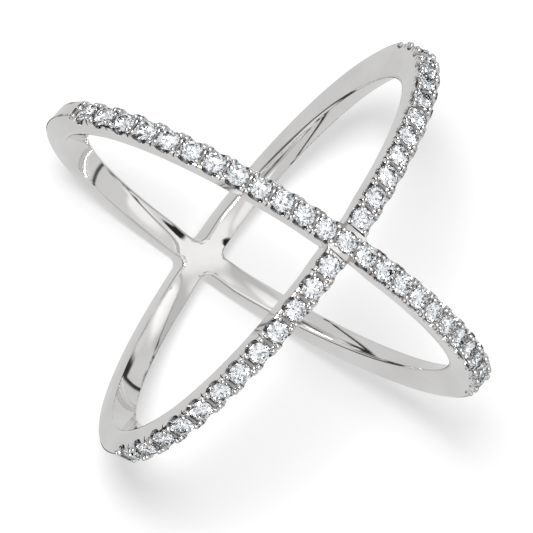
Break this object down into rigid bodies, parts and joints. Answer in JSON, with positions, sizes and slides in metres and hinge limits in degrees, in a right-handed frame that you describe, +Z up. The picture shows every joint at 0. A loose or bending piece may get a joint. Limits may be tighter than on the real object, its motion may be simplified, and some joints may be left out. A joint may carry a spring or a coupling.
{
  "type": "crossover ring, crossed pave bands",
  "caption": "X-shaped crossover finger ring in polished white gold: narrow bands that cross above and below the finger, their upper halves bead-set with small round brilliants.",
  "frame": {"origin": "on the floor under the middle of the ring, where its lower crossing stands", "axes": "+Z up through both crossings, Y along the finger, X across it"},
  "size_m": [0.0204, 0.0228, 0.0196],
  "materials": {
    "white_gold": "high polish, rhodium-bright",
    "diamond": "polished facets, clear"
  },
  "bodies": {
    "root": {"crossed_bands": "white_gold", "long_row_stones": "diamond", "cross_row_stones": "diamond"}
  },
  "joints": []
}
